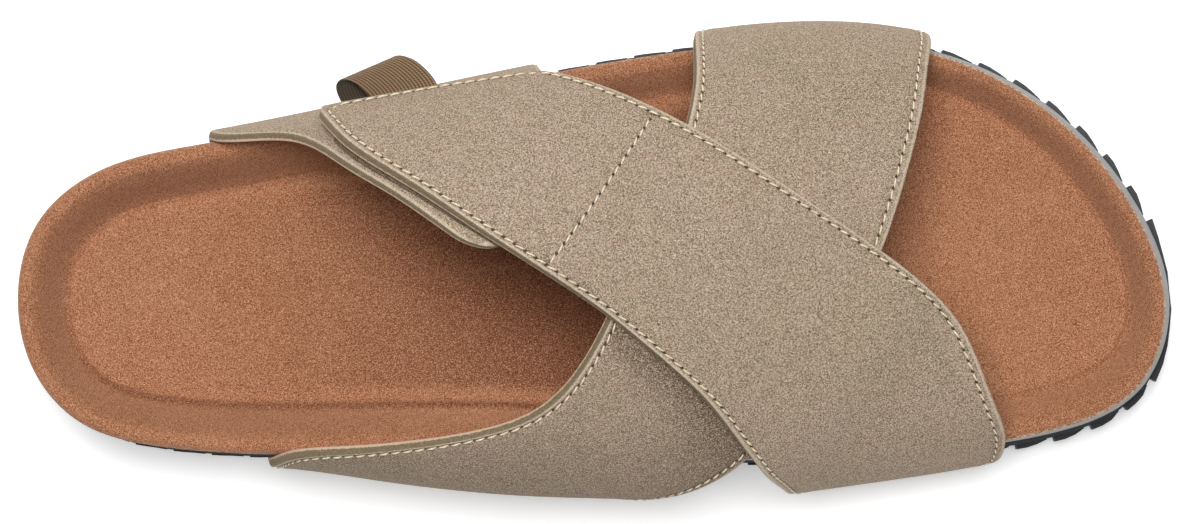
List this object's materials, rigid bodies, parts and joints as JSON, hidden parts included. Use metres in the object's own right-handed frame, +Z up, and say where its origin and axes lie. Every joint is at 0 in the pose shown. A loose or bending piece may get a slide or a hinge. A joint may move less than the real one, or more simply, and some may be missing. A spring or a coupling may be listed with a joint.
{
  "type": "slide sandal",
  "caption": "Left-foot slide sandal with crossed nubuck straps, a hook-and-loop closure with pull loop, a moulded suede footbed and a lugged sole.",
  "frame": {"origin": "centre of the bounding box, at floor level under the tread", "axes": "+X to the toe, +Y to the outer side of the left foot, +Z up"},
  "size_m": [0.2654, 0.1098, 0.0885],
  "materials": {
    "rubber": "matt charcoal rubber",
    "foam": "matt light grey foam",
    "suede": "tan suede with a short nap",
    "nubuck": "taupe nubuck with a fine nap",
    "tape": "brown hook-and-loop pile",
    "ribbon": "olive brown ribbed ribbon"
  },
  "bodies": {
    "root": {"outsole": "rubber", "midsole": "foam", "footbed": "suede", "upper": "nubuck", "fastening_strap": "nubuck", "closure_tape": "tape", "pull_loop": "ribbon"}
  },
  "joints": []
}
